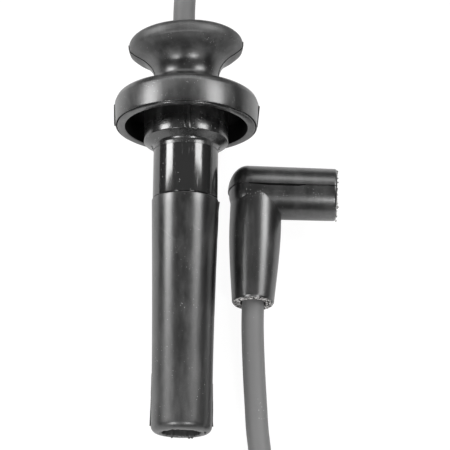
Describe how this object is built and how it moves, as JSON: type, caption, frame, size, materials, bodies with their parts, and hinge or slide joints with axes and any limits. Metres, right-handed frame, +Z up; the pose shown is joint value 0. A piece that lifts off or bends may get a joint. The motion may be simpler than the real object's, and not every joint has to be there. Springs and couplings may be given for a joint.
{
  "type": "spark plug wire",
  "caption": "Ignition lead: a long straight plug boot with an extension tube and a bell-shaped sealing cap, joined by a grey cable to a right-angled coil boot",
  "frame": {"origin": "middle of the floor area that the two boots cover, on the surface they lie on", "axes": "+Z up; +Y along the long plug boot, from its mouth to its cap; +X from the plug boot to the coil boot's mouth"},
  "size_m": [0.1224, 0.2051, 0.0456],
  "materials": {
    "cap_rubber": "satin black moulded rubber with light dust",
    "tube_plastic": "glossy black hard plastic",
    "boot_rubber": "semi-matt black moulded rubber with light dust",
    "terminal_steel": "plated stamped steel",
    "terminal_brass": "stamped brass",
    "cable_jacket": "matt grey silicone jacket"
  },
  "bodies": {
    "root": {"seal_cap": "cap_rubber", "upper_tube": "tube_plastic", "plug_boot": "boot_rubber", "plug_terminal": "terminal_steel", "plug_terminal_clip": "terminal_steel", "plug_lead": "cable_jacket", "coil_boot": "boot_rubber", "coil_terminal": "terminal_brass", "coil_lead": "cable_jacket", "cable": "cable_jacket"}
  },
  "joints": []
}
